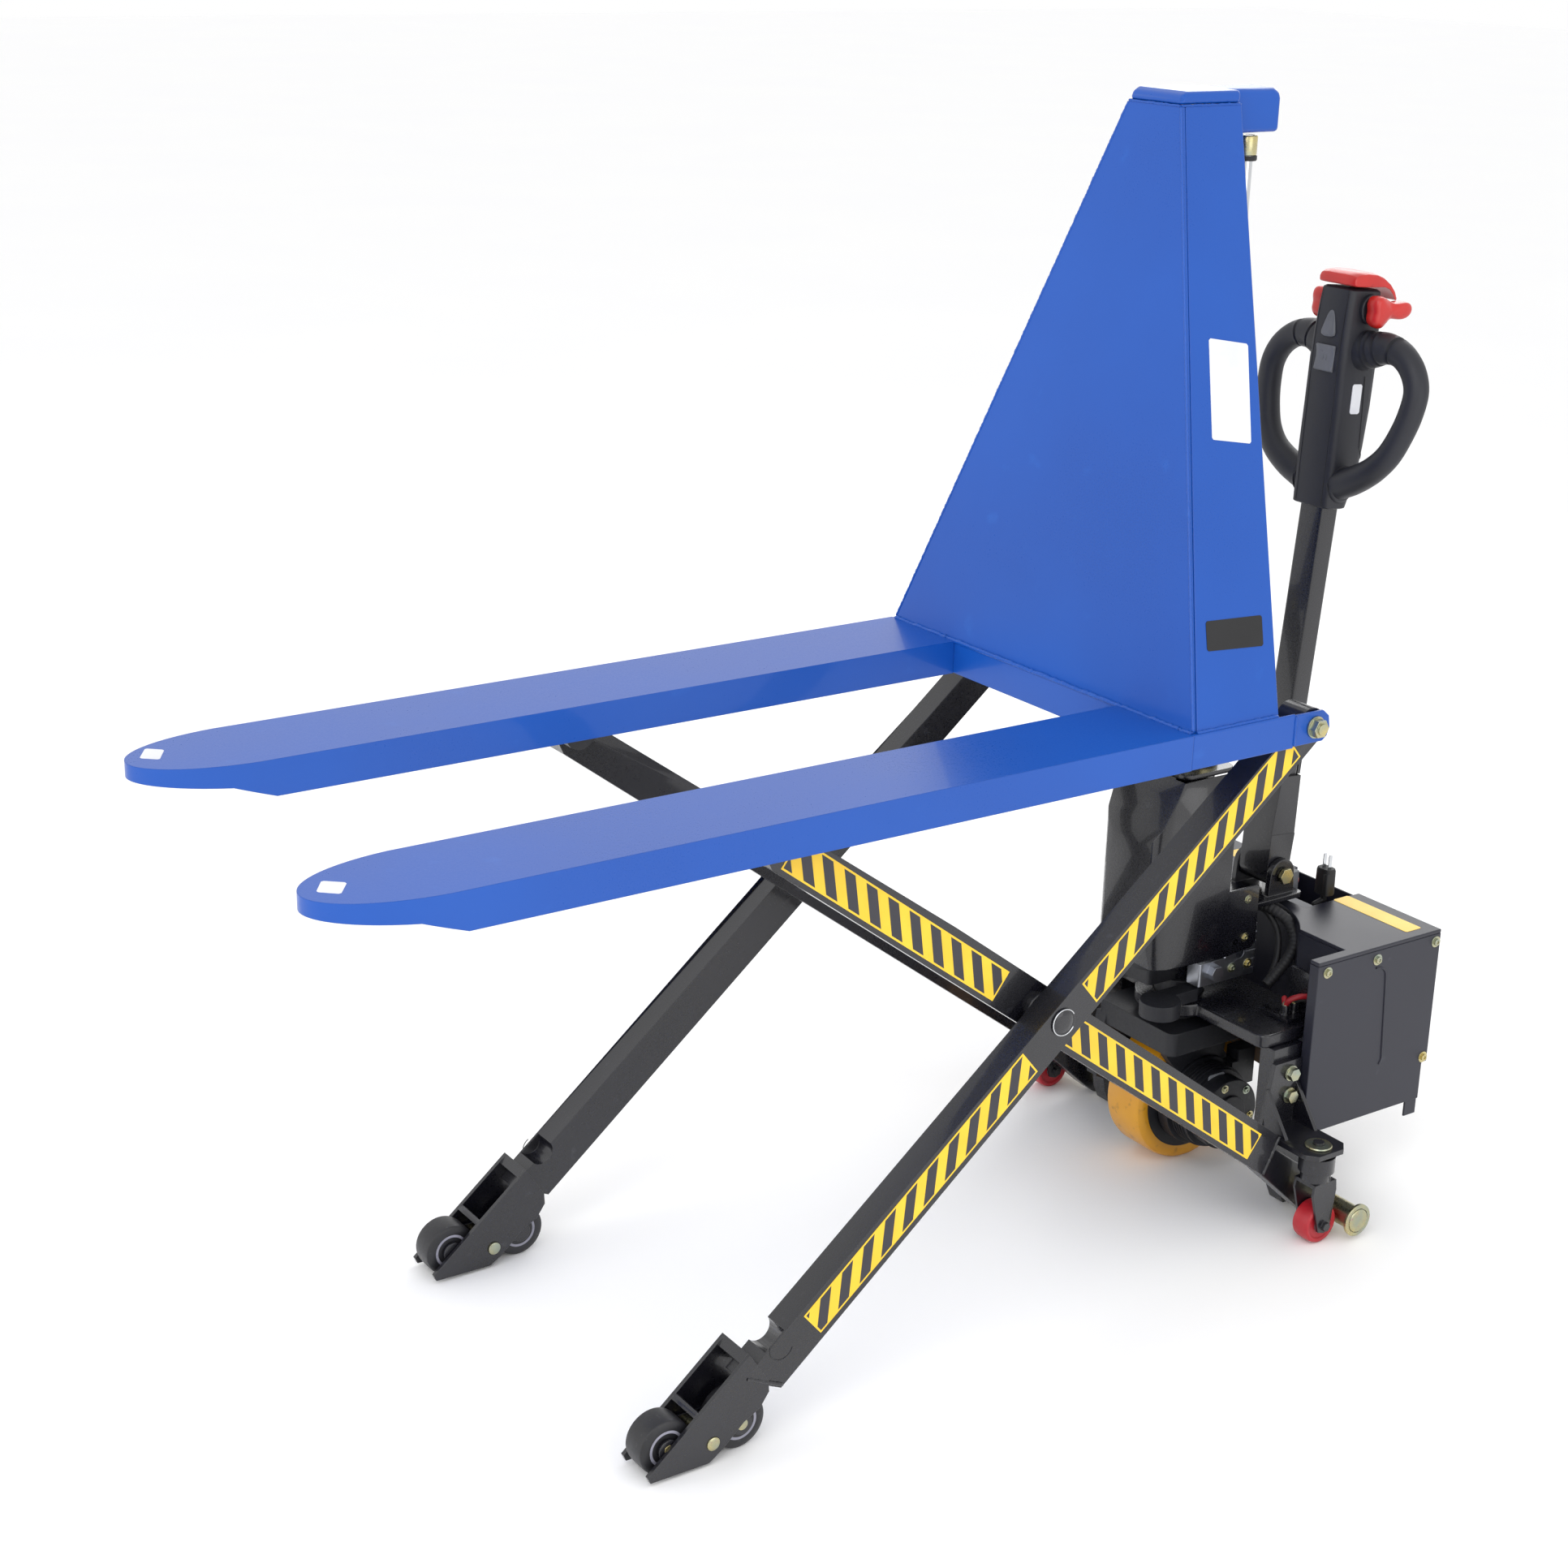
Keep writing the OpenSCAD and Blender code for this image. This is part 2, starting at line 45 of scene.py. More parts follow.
def at(x, y, z):
    """Heel-frame millimetres to the row frame in metres."""
    return Vector((x / 1000 + HEEL_X, y / 1000, z / 1000))


# ---------------------------------------------------------------- camera
LENS = 59.437
AZIMUTH, ELEVATION, ROLL = math.radians(145.283), math.radians(19.267), math.radians(1.449)

camera_data = bpy.data.cameras.new("camera")
camera = bpy.data.objects.new("camera", camera_data)
bpy.context.scene.collection.objects.link(camera)
camera_data.sensor_width = 36.0
camera_data.lens = LENS
camera_data.clip_end = 60
back = Vector((math.sin(AZIMUTH) * math.cos(ELEVATION), -math.cos(AZIMUTH) * math.cos(ELEVATION),
               math.sin(ELEVATION)))
right = (-back).cross(Vector((0, 0, 1))).normalized()
up = right.cross(-back)
rolled_right = right * math.cos(ROLL) + up * math.sin(ROLL)
rolled_up = up * math.cos(ROLL) - right * math.sin(ROLL)
stand = Matrix((rolled_right, rolled_up, back)).transposed().to_4x4()
stand.translation = at(2402.4, 2575.7, 1829.2)
camera.matrix_world = stand
bpy.context.scene.camera = camera

# ---------------------------------------------------------------- light
world = bpy.data.worlds.new("studio")
bpy.context.scene.world = world
world.use_nodes = True
world.node_tree.nodes["Background"].inputs[0].default_value = (1, 1, 1, 1)
world.node_tree.nodes["Background"].inputs[1].default_value = 1.0
bpy.context.scene.view_settings.view_transform = "Standard"


def area(name, place, target, size, power):
    """A square area light at place, turned to target."""
    light = bpy.data.lights.new(name, "AREA")
    light.energy, light.size = power, size
    lamp = bpy.data.objects.new(name, light)
    bpy.context.scene.collection.objects.link(lamp)
    lamp.location = place
    lamp.rotation_euler = (Vector(target) - Vector(place)).to_track_quat("-Z", "Y").to_euler()


area("key", (2.6, 2.2, 3.6), (0, 0, 0.6), 3.0, 62)
area("front", (4.2, -0.6, 1.7), (0, 0, 0.8), 2.4, 26)
area("side", (-0.8, 4.2, 1.6), (-0.2, 0, 0.7), 2.6, 30)
area("rim", (-3.4, -2.2, 2.8), (0, 0, 0.9), 2.2, 36)


# ---------------------------------------------------------------- materials
def rgb(code):
    """A linear colour from a six-digit sRGB code."""
    channels = [int(code[i:i + 2], 16) / 255 for i in (0, 2, 4)]
    return tuple((c / 12.92 if c < 0.04045 else ((c + 0.055) / 1.055) ** 2.4) for c in channels) + (1,)


def material(name, tone_a, tone_b, rough=(0.3, 0.4), metal=0.0, scale=6.0, grain=180.0, bump=0.05,
             coat=0.0, dirt=None, dirt_at=0.62, spec=0.5, stretch=None, edge=0.0012):
    """A surface with two mixed tones, roughness variation, grain bump, dust and rounded edges."""
    made = bpy.data.materials.new(name)
    made.use_nodes = True
    tree = made.node_tree
    shader = tree.nodes["Principled BSDF"]
    wire = tree.links.new

    def node(kind, **values):
        """A new node; an underscore in an input's name stands for its space."""
        new = tree.nodes.new("ShaderNode" + kind)
        for key, value in values.items():
            new.inputs[key.replace("_", " ")].default_value = value
        return new

    def noise_at(source, **values):
        texture = node("TexNoise", **values)
        wire(source, texture.inputs["Vector"])
        return texture.outputs["Fac"]

    source = node("TexCoord").outputs["Object"]
    fine_source = source
    if stretch:
        mapping = node("Mapping", Scale=stretch)
        wire(source, mapping.inputs["Vector"])
        fine_source = mapping.outputs["Vector"]

    # the two tones, and dust on top of them
    clouds = noise_at(source, Scale=scale, Detail=6)
    ramp = node("MapRange", From_Min=0.35, From_Max=0.65)
    wire(clouds, ramp.inputs["Value"])
    tones = node("Mix")
    tones.data_type = "RGBA"
    tones.inputs[6].default_value, tones.inputs[7].default_value = rgb(tone_a), rgb(tone_b)
    wire(ramp.outputs["Result"], tones.inputs[0])
    colour = tones.outputs[2]
    if dirt:
        spots = noise_at(source, Scale=scale * 9, Detail=9)
        gate = node("MapRange", From_Min=dirt_at, From_Max=dirt_at + 0.12, To_Max=0.6)
        wire(spots, gate.inputs["Value"])
        dusty = node("Mix")
        dusty.data_type = "RGBA"
        dusty.inputs[7].default_value = rgb(dirt)
        wire(gate.outputs["Result"], dusty.inputs[0])
        wire(colour, dusty.inputs[6])
        colour = dusty.outputs[2]
    wire(colour, shader.inputs["Base Color"])

    # roughness follows both noises, and the fine one also gives the bump
    fine = noise_at(fine_source, Scale=grain, Detail=3)
    total = node("Math")
    total.operation = "ADD"
    wire(clouds, total.inputs[0])
    wire(fine, total.inputs[1])
    spread = node("MapRange", From_Min=0.7, From_Max=1.3, To_Min=rough[0], To_Max=rough[1])
    wire(total.outputs[0], spread.inputs["Value"])
    wire(spread.outputs["Result"], shader.inputs["Roughness"])
    relief = node("Bump", Strength=bump, Distance=0.001)
    wire(fine, relief.inputs["Height"])
    rounding = node("Bevel", Radius=edge)
    rounding.samples = 4
    wire(rounding.outputs["Normal"], relief.inputs["Normal"])
    wire(relief.outputs["Normal"], shader.inputs["Normal"])
    shader.inputs["Metallic"].default_value = metal
    shader.inputs["Coat Weight"].default_value = coat
    shader.inputs["Coat Roughness"].default_value = 0.06
    shader.inputs["Specular IOR Level"].default_value = spec
    return made


MAT = {
    "fork_blue": material("fork_blue", "0f4ba4", "1150ac", (0.26, 0.36), scale=2.5, grain=420, bump=0.05,
                          coat=0.22, dirt="1a5ab4", dirt_at=0.66, spec=0.3, edge=0.002),
    "frame_black": material("frame_black", "0d0d13", "14141b", (0.22, 0.36), scale=5, grain=300, bump=0.10,
                            coat=0.45, dirt="35363d", dirt_at=0.66, edge=0.0018),
    "cast_black": material("cast_black", "101116", "18191f", (0.42, 0.58), scale=9, grain=260, bump=0.16,
                           dirt="3b3a38", dirt_at=0.64, edge=0.002),
    "zinc": material("zinc", "c9bb84", "9fa89a", (0.22, 0.38), 1.0, scale=28, grain=500, bump=0.1,
                     dirt="b07f86", dirt_at=0.6, edge=0.0006),
    "chrome": material("chrome", "d4d6d8", "c2c4c8", (0.08, 0.16), 1.0, scale=8, grain=600, bump=0.03,
                       stretch=(1, 1, 12), edge=0.0006),
    "aluminium": material("aluminium", "b4b7be", "9a9da6", (0.28, 0.42), 1.0, scale=12, grain=220, bump=0.12,
                          stretch=(0.2, 1, 4), edge=0.001),
    "amber_tyre": material("amber_tyre", "c98a14", "d89a1e", (0.3, 0.45), scale=7, grain=160, bump=0.08,
                           dirt="7d5a1c", dirt_at=0.6, coat=0.2, edge=0.003),
    "red_tyre": material("red_tyre", "b3202c", "a01824", (0.32, 0.46), scale=20, grain=200, bump=0.08,
                         dirt="5c1f22", dirt_at=0.64, edge=0.002),
    "black_tyre": material("black_tyre", "18181b", "232327", (0.35, 0.5), scale=14, grain=240, bump=0.12,
                           dirt="3d3d40", dirt_at=0.62, edge=0.002),
    "box_paint": material("box_paint", "1c1d29", "21222e", (0.36, 0.46), scale=4, grain=900, bump=0.12,
                          dirt="3d3e48", dirt_at=0.68, edge=0.0015),
    "grip_plastic": material("grip_plastic", "191a21", "1f2029", (0.46, 0.6), scale=10, grain=1400, bump=0.15,
                             dirt="33343a", dirt_at=0.68, edge=0.0015),
    "red_plastic": material("red_plastic", "c8231c", "b81d18", (0.3, 0.4), scale=14, grain=900, bump=0.12,
                            dirt="8c1914", dirt_at=0.68, coat=0.2, edge=0.0015),
    "grey_plastic": material("grey_plastic", "5a5c61", "66686e", (0.42, 0.55), scale=16, grain=1200, bump=0.25,
                             dirt="45474b", dirt_at=0.66, edge=0.001),
    "cable_rubber": material("cable_rubber", "121214", "1c1c1f", (0.5, 0.65), scale=30, grain=700, bump=0.3,
                             dirt="303034", dirt_at=0.64, edge=0.0006),
}
YELLOW = material("label_yellow", "f6cd2c", "f2c424", (0.36, 0.46), scale=20, grain=700, bump=0.06,
                  dirt="c79a18", dirt_at=0.7, coat=0.15, edge=0.0003)
LABEL_BLACK = material("label_black", "2c2b33", "333239", (0.4, 0.5), scale=20, grain=700, bump=0.06,
                       dirt="47464f", dirt_at=0.7, edge=0.0003)
LABEL_WHITE = material("label_white", "d9dbe2", "e4e5ea", (0.35, 0.45), scale=20, grain=700, bump=0.05,
                       dirt="b8bac4", dirt_at=0.7, edge=0.0003)
LABEL_GREY = material("label_grey", "8f9299", "a2a5ac", (0.3, 0.42), scale=40, grain=700, bump=0.06,
                      dirt="6d7077", dirt_at=0.66, edge=0.0003)
PLATE_BLACK = material("plate_black", "0c0c0e", "131316", (0.35, 0.45), scale=20, grain=700, bump=0.05,
                       dirt="2a2a2e", dirt_at=0.7, edge=0.0003)
RED_CABLE = material("red_cable", "a01320", "8a0f1a", (0.4, 0.5), scale=60, grain=900, bump=0.1,
                     dirt="5a0d14", dirt_at=0.66, edge=0.0004)
RIM = material("rim_grey", "82828f", "9594a2", (0.35, 0.5), scale=24, grain=500, bump=0.1,
               dirt="5b5a64", dirt_at=0.6, edge=0.0006)
SLOT = {s["node"]: s["material_slot"] for s in frame["record"]["subparts"]}


# ---------------------------------------------------------------- mesh helpers
def link(name, mesh, finish, smooth=40):
    """An object for a mesh, with one material or a list of them; smooth is the sharp angle."""
    piece = bpy.data.objects.new(name, mesh)
    bpy.context.scene.collection.objects.link(piece)
    for made in (finish if isinstance(finish, list) else [finish]):
        mesh.materials.append(made)
    if smooth is not None:
        for face in mesh.polygons:
            face.use_smooth = True
        mesh.set_sharp_from_angle(angle=math.radians(smooth))
    return piece


def bevel(piece, width, segments=2, angle=35):
    """Rounds the edges sharper than angle."""
    rounding = piece.modifiers.new("bevel", "BEVEL")
    rounding.width, rounding.segments, rounding.limit_method = width, segments, "ANGLE"
    rounding.angle_limit = math.radians(angle)
    rounding.harden_normals = True


# skins whose fine facets must not be merged before they are bevelled
KEEP_FACETS = ("shroud", "cylinder_barrel", "estop_housing")


def soften(node, width, segments):
    """A finished copy of a CAD node with rounded edges."""
    mesh = NODES[node].data.copy()
    mesh.materials.clear()
    bm = bmesh.new()
    bm.from_mesh(mesh)
    bmesh.ops.remove_doubles(bm, verts=bm.verts, dist=1e-5)
    if node not in KEEP_FACETS:
        bmesh.ops.dissolve_limit(bm, angle_limit=math.radians(2.0), verts=bm.verts, edges=bm.edges)
    bm.to_mesh(mesh)
    bm.free()
    piece = link(node + ".body", mesh, MAT[SLOT[node]])
    bevel(piece, width, segments)
    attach(piece, BODY[node])
    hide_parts(node)


def mesh_from(bm, name):
    """The mesh of a finished bmesh, with its faces turned outwards."""
    bmesh.ops.recalc_face_normals(bm, faces=bm.faces)
    mesh = bpy.data.meshes.new(name)
    bm.to_mesh(mesh)
    bm.free()
    return mesh


def wall(bm, rings):
    """Faces between each ring of vertices and the next."""
    count = len(rings[0])
    for a, b in zip(rings, rings[1:]):
        for k in range(count):
            bm.faces.new((a[k], a[(k + 1) % count], b[(k + 1) % count], b[k]))


def closed_wall(bm, rings):
    """A wall with a face over each end."""
    wall(bm, rings)
    bm.faces.new(rings[0][::-1])
    bm.faces.new(rings[-1])


def turn_by(degrees):
    """The unit vector at an angle in the XZ plane."""
    return X * math.cos(math.radians(degrees)) + Z * math.sin(math.radians(degrees))


def sweep(points, radii, sides=16):
    """A closed tube along points, with one radius or a list of them."""
    bm = bmesh.new()
    rings = []
    reference = Vector((0, 1, 0.013)).normalized()
    for i, p in enumerate(points):
        before, after = points[max(i - 1, 0)], points[min(i + 1, len(points) - 1)]
        along = (after - before).normalized()
        side = along.cross(reference)
        if side.length < 0.2:
            side = along.cross(Vector((1, 0, 0.01)))
        side.normalize()
        other = along.cross(side)
        radius = radii[i] if isinstance(radii, list) else radii
        turns = [k * 2 * math.pi / sides for k in range(sides)]
        rings.append([bm.verts.new(p + (side * math.cos(t) + other * math.sin(t)) * radius) for t in turns])
    closed_wall(bm, rings)
    return mesh_from(bm, "tube")


def spline(control, per=10):
    """Catmull-Rom points through control points."""
    out, last = [], len(control) - 1
    for i in range(last):
        p = [control[min(max(i + k, 0), last)] for k in (-1, 0, 1, 2)]
        for j in range(per):
            t = j / per
            out.append(0.5 * ((2 * p[1]) + (p[2] - p[0]) * t + (2 * p[0] - 5 * p[1] + 4 * p[2] - p[3]) * t * t
                              + (3 * p[1] - p[0] - 3 * p[2] + p[3]) * t ** 3))
    out.append(control[-1].copy())
    return out


def weld(name, a, b, body, radius=0.0032, slot="fork_blue"):
    """A rippled weld bead between two points."""
    count = max(int((b - a).length / 0.0022), 4)
    points, radii = [], []
    for i in range(count + 1):
        q = a.lerp(b, i / count)
        ripple = noise.noise(q * 190)
        points.append(q + Vector((0, 0, 0.0008 * ripple)))
        radii.append(radius * (0.78 + 0.22 * abs(math.sin(i * 1.15)) + 0.16 * ripple))
    piece = link(name, sweep(points, radii, 8), MAT[slot], 80)
    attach(piece, body)


def prism(outline, origin, ex, ey, ez, depth, finish, name, body, rounding=0.0):
    """An outline in (ex, ey), extruded by depth along ez."""
    bm = bmesh.new()
    low = [bm.verts.new(origin + ex * p[0] + ey * p[1]) for p in outline]
    high = [bm.verts.new(origin + ex * p[0] + ey * p[1] + ez * depth) for p in outline]
    bm.faces.new(low[::-1])
    bm.faces.new(high)
    wall(bm, [low, high])
    piece = link(name, mesh_from(bm, name), finish)
    if rounding:
        bevel(piece, rounding)
    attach(piece, body)
    return piece


def revolve(name, centre, profile, body, finish, axis="y", sides=64):
    """A turned piece about an axis through centre; profile is (along, radius) pairs."""
    bm = bmesh.new()
    rings = []
    for along, radius in profile:
        ring = []
        for k in range(sides):
            t = 2 * math.pi * k / sides
            q = Vector((radius * math.cos(t), along, radius * math.sin(t)))
            if axis == "z":
                q = Vector((q.x, q.z, q.y))
            if axis == "x":
                q = Vector((q.y, q.x, q.z))
            ring.append(bm.verts.new(centre + q))
        rings.append(ring)
    wall(bm, rings)
    if profile[0] != profile[-1]:
        bm.faces.new(rings[0])
        bm.faces.new(rings[-1][::-1])
    bmesh.ops.remove_doubles(bm, verts=bm.verts, dist=1e-6)
    piece = link(name, mesh_from(bm, name), finish, 35)
    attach(piece, body)
    return piece


# ---------------------------------------------------------------- rounded copies of the CAD solids
ROUND = {
    "forks": 2.2, "tower_front": 1.5, "tower_sides": 1.5, "heel_ears": 1.5, "inner_arms": 6,
    "inner_lugs": 2, "outer_arms": 6, "bogie_frames": 1.5, "chassis_plate": 3, "side_columns": 3,
    "caster_brackets": 1.5, "battery_box": 1.2, "battery_cover": 1.5, "drive_fork": 5, "drive_motor": 3,
    "shroud": 1, "shroud_lid": 3, "manifold": 1.2, "tiller_base": 1.5, "tiller_bracket": 1.5,
    "estop_housing": 1.5, "cylinder_barrel": 1, "terminal_bracket": 1.2, "tandem_link_left": 1,
    "tandem_link_right": 1, "caster_fork_left": 1.5, "caster_fork_right": 1.5, "tower_block": 7,
    "chassis_bolts": 0.8, "heel_bolts": 1, "scissor_shaft": 2.5, "pump_unit": 2,
    "tiller_tube": 2, "batteries": 3, "heel_frame": 2.2, "charger": 2, "tiller_pin": 1,
}
for node, width in ROUND.items():
    soften(node, width / 1000, 3 if width > 2.9 else 2)
for node, cad in NODES.items():
    cad.data.materials.clear()
    cad.data.materials.append(MAT[SLOT[node]])
    for face in cad.data.polygons:
        face.use_smooth = True
    cad.data.set_sharp_from_angle(angle=math.radians(35))


# ---------------------------------------------------------------- hazard labels
def clip(outline, low, high, axis):
    """The part of a flat outline between two limits on one axis."""
    for bound, keep in ((low, 1), (high, -1)):
        out = []
        for i, p in enumerate(outline):
            q = outline[(i + 1) % len(outline)]
            dp, dq = (p[axis] - bound) * keep, (q[axis] - bound) * keep
            if dp >= 0:
                out.append(p)
            if dp * dq < 0:
                t = dp / (dp - dq)
                out.append(tuple(p[k] + (q[k] - p[k]) * t for k in (0, 1)))
        outline = out
        if not outline:
            return []
    return outline


STRIPE_PITCH = 0.0415
STRIPE_MARGIN = 0.0026


def hazard(name, origin, along, across, out, s0, s1, n0, n1, body):
    """A yellow label from (s0, n0) to (s1, n1) with slanting black bars."""
    layers = [([(s0, n0), (s1, n0), (s1, n1), (s0, n1)], 0.0003, 0)]
    height = n1 - n0
    start = s0 - height
    while start < s1 + height:
        bar = [(start + height, n0), (start + height + STRIPE_PITCH * 0.5, n0),
               (start + STRIPE_PITCH * 0.5, n1), (start, n1)]
        bar = clip(bar, s0 + STRIPE_MARGIN, s1 - STRIPE_MARGIN, 0)
        bar = clip(bar, n0 + STRIPE_MARGIN, n1 - STRIPE_MARGIN, 1)
        if len(bar) > 2:
            layers.append((bar, 0.00045, 1))
        start += STRIPE_PITCH
    bm = bmesh.new()
    for outline, thick, slot_number in layers:
        top = [bm.verts.new(origin + along * p[0] + across * p[1] + out * thick) for p in outline]
        bottom = [bm.verts.new(origin + along * p[0] + across * p[1] - out * 0.0002) for p in outline]
        faces = [bm.faces.new(top)]
        for i in range(len(outline)):
            j = (i + 1) % len(outline)
            faces.append(bm.faces.new((bottom[i], bottom[j], top[j], top[i])))
        for face in faces:
            face.material_index = slot_number
    piece = link(name, mesh_from(bm, name), [YELLOW, LABEL_BLACK], None)
    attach(piece, body)


OUTER_TILT, INNER_TILT = math.radians(40.05), math.radians(36.5)
OUTER_ALONG = Vector((math.cos(OUTER_TILT), 0, -math.sin(OUTER_TILT)))
OUTER_ACROSS = Vector((math.sin(OUTER_TILT), 0, math.cos(OUTER_TILT)))
INNER_ALONG = Vector((-math.cos(INNER_TILT), 0, -math.sin(INNER_TILT)))
INNER_ACROSS = Vector((-math.sin(INNER_TILT), 0, math.cos(INNER_TILT)))
SIDES = ((1, "left"), (-1, "right"))
for sgn, tag in SIDES:
    out = Vector((0, sgn, 0))
    for name, ends in (("low", (0.583, 1.010, -0.0215, 0.0195)), ("top", (0.036, 0.465, -0.0235, 0.0175))):
        hazard("hazard_outer_%s_%s" % (name, tag), at(-2, sgn * 311, 800), OUTER_ALONG, OUTER_ACROSS, out,
               *ends, "outer_arms")
    for name, ends in (("top", (-0.49, -0.079, -0.0235, 0.0195)), ("low", (0.074, 0.519, -0.0225, 0.0185))):
        hazard("hazard_inner_%s_%s" % (name, tag), at(393, sgn * 262, 468), INNER_ALONG, INNER_ACROSS, out,
               *ends, "inner_arms")

# the clamp foot under the manifold is cast iron, so its low faces are black
CLAMP_TOP = 0.3105
manifold = bpy.data.objects["manifold.body"].data
manifold.materials.append(MAT["cast_black"])
for face in manifold.polygons:
    if face.center.z < CLAMP_TOP:
        face.material_index = 1

# ---------------------------------------------------------------- detail helpers
LEAN = math.radians(4.8)  # the tiller's lean in the photo


def tiller(x, y, z):
    """A point in the tiller's own millimetres."""
    return at(-262 + x * math.cos(LEAN) - z * math.sin(LEAN), y,
              447 + x * math.sin(LEAN) + z * math.cos(LEAN))


TILLER_X, TILLER_Z = (tiller(1000, 0, 0) - tiller(0, 0, 0)), (tiller(0, 0, 1000) - tiller(0, 0, 0))


def loft(name, rings, finish, body, smooth=50, subdivide=0):
    """A closed skin through equal rings of points."""
    bm = bmesh.new()
    closed_wall(bm, [[bm.verts.new(p) for p in ring] for ring in rings])
    piece = link(name, mesh_from(bm, name), finish, smooth)
    if subdivide:
        rounding = piece.modifiers.new("sub", "SUBSURF")
        rounding.levels = rounding.render_levels = subdivide
    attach(piece, body)
    return piece


def bolts(name, centres, out, radius, high, body, slot, washer=1.5):
    """Hexagon heads on washers, each with a shallow socket."""
    a = out.orthogonal().normalized()
    b = out.cross(a)
    turn = 0.2
    # each part: sides, radius, start and end height, and how much its top edge draws in
    parts = ((20, radius * washer, -0.0004, high * 0.22, 0.97), (6, radius, high * 0.2, high, 0.9))
    bm = bmesh.new()
    for centre in centres:
        for n, r0, h0, h1, top in parts:
            turns = [turn + 2 * math.pi * k / n for k in range(n)]
            ring = [(a * math.cos(t) + b * math.sin(t)) for t in turns]
            rows = [(h0, 1), (h0 + (h1 - h0) * 0.8, 1), (h1, top)]
            if n == 6:
                rows += [(h1, 0.5), (h1 - high * 0.3, 0.45)]
            closed_wall(bm, [[bm.verts.new(centre + v * r0 * f + out * h) for v in ring] for h, f in rows])
    piece = link(name, mesh_from(bm, name), MAT[slot], 30)
    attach(piece, body)


def disc(centre, ex, ez, rx, rz, count=40, power=2.0):
    """Points of a rounded outline about centre; a higher power is squarer."""
    out = []
    for k in range(count):
        t = 2 * math.pi * k / count
        cx, cz = math.cos(t), math.sin(t)
        out.append(centre + ex * rx * math.copysign(abs(cx) ** (2 / power), cx)
                   + ez * rz * math.copysign(abs(cz) ** (2 / power), cz))
    return out


def cable(name, control, radius, finish, body, wrap=0.0):
    """A cable through control points in heel-frame millimetres; wrap is the height of its ripple."""
    points = spline([at(*p) for p in control], 14)
    radii = [radius + (wrap * (0.5 + 0.5 * math.sin(i * 1.9)) if wrap else 0.0) for i in range(len(points))]
    piece = link(name, sweep(points, radii, 14), finish, 60)
    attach(piece, body)
    return piece


def label(name, corners, out, finish, body, thick=0.0004):
    """A thin blank sticker through four corners, with cut corners."""
    ring = []
    for i, p in enumerate(corners):
        a, b = corners[i - 1], corners[(i + 1) % len(corners)]
        ring += [p + (a - p).normalized() * 0.0025, p + (b - p).normalized() * 0.0025]
    low, high = [p - out * 0.0002 for p in ring], [p + out * thick for p in ring]
    loft(name, [low, high], finish, body, 20)


FRAME, CHASSIS, STEERING = BODY["forks"], BODY["chassis_plate"], BODY["drive_fork"]

# ---------------------------------------------------------------- handle
HEAD_LINES = (("seam", ((-14, 35.9, 742), (-19, 36.4, 690), (-23, 36.9, 640))),
              ("notch", ((-23, 36.9, 640), (-30, 35.6, 631), (-36, 30, 624))))
# a grip's centre line and radius, in the tiller's millimetres
GRIP = ((-8, 28, 778, 29), (-10, 48, 782, 26), (-10, 74, 787, 22), (-9, 102, 782, 19), (-8, 126, 764, 18),
        (-7, 139, 738, 17.5), (-4, 138, 706, 17.5), (0, 130, 674, 17.5), (4, 117, 644, 18),
        (7, 96, 620, 19), (6, 68, 602, 20.5), (3, 42, 591, 22), (2, 28, 588, 23))
for sgn, tag in SIDES:
    points = spline([tiller(x, sgn * y, z) for x, y, z, _ in GRIP], 6)
    radii = [p.x for p in spline([Vector((g[3] / 1000, 0, 0)) for g in GRIP], 6)]
    grip = link("grip_" + tag, sweep(points, radii, 28), MAT["grip_plastic"], 60)
    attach(grip, BODY["handle_loops"])
    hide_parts("handle_loops")
    centre = tiller(0, sgn * 36.2, 588)
    rings = [disc(centre + Y * sgn * d, TILLER_X, TILLER_Z, (24.5 + g) / 1000, (26 + g) / 1000, 40)
             for d, g in ((0, 0.8), (0.0022, 0), (0.004, -1.6), (0.0046, -3.4))]
    loft("grip_root_" + tag, rings, MAT["grip_plastic"], BODY["handle_head"])
    for name, line in HEAD_LINES:
        points = [tiller(x, sgn * y, z) for x, y, z in line]
        piece = link("head_%s_%s" % (name, tag), sweep(points, 0.0005, 6), PLATE_BLACK, 60)
        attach(piece, BODY["handle_head"])

# the head's height, front, rear and half width at each section
HEAD = ((552, 22, -20, 34), (553.5, 24, -22, 35.6), (600, 26, -34, 36.8), (640, 28, -38, 36.8),
        (700, 30.5, -41, 36), (760, 34, -41, 34.8), (800, 34.6, -39, 33.5), (840, 33.5, -35, 32),
        (860, 32, -32, 31), (862.5, 29, -29, 28))
rings = []
for z, f, r, h in HEAD:
    half = [(f, h - 9), (f - 1.2, h - 5), (f - 4, h - 2), (f - 9, h), (r + 14, h), (r + 6.5, h - 2),
            (r + 2, h - 6.5), (r, h - 13)]
    outline = [(x, -y) for x, y in half[:1]] + half + [(x, -y) for x, y in half[:0:-1]]
    rings.append([tiller(x, y, z) for x, y in outline])
piece = loft("head_shell", rings, MAT["grip_plastic"], BODY["handle_head"], 34)
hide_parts("handle_head")
FRONT_LINE = [(24.2, 556)] + [(f, z) for z, f, r, h in HEAD[2:8]] + [(32, 859)]
for y in (-25, 25):
    piece = link("head_front_line_%d" % (y + 25), sweep([tiller(f + 0.1, y, z) for f, z in FRONT_LINE],
                                                        0.0004, 6), PLATE_BLACK, 60)
    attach(piece, BODY["handle_head"])
label("handle_label", [tiller(*p) for p in ((8, 35.6, 731), (-11, 35.6, 731), (-12, 36.2, 689),
                                            (7, 36.2, 689))], Y, LABEL_WHITE, BODY["handle_head"], 0.0006)
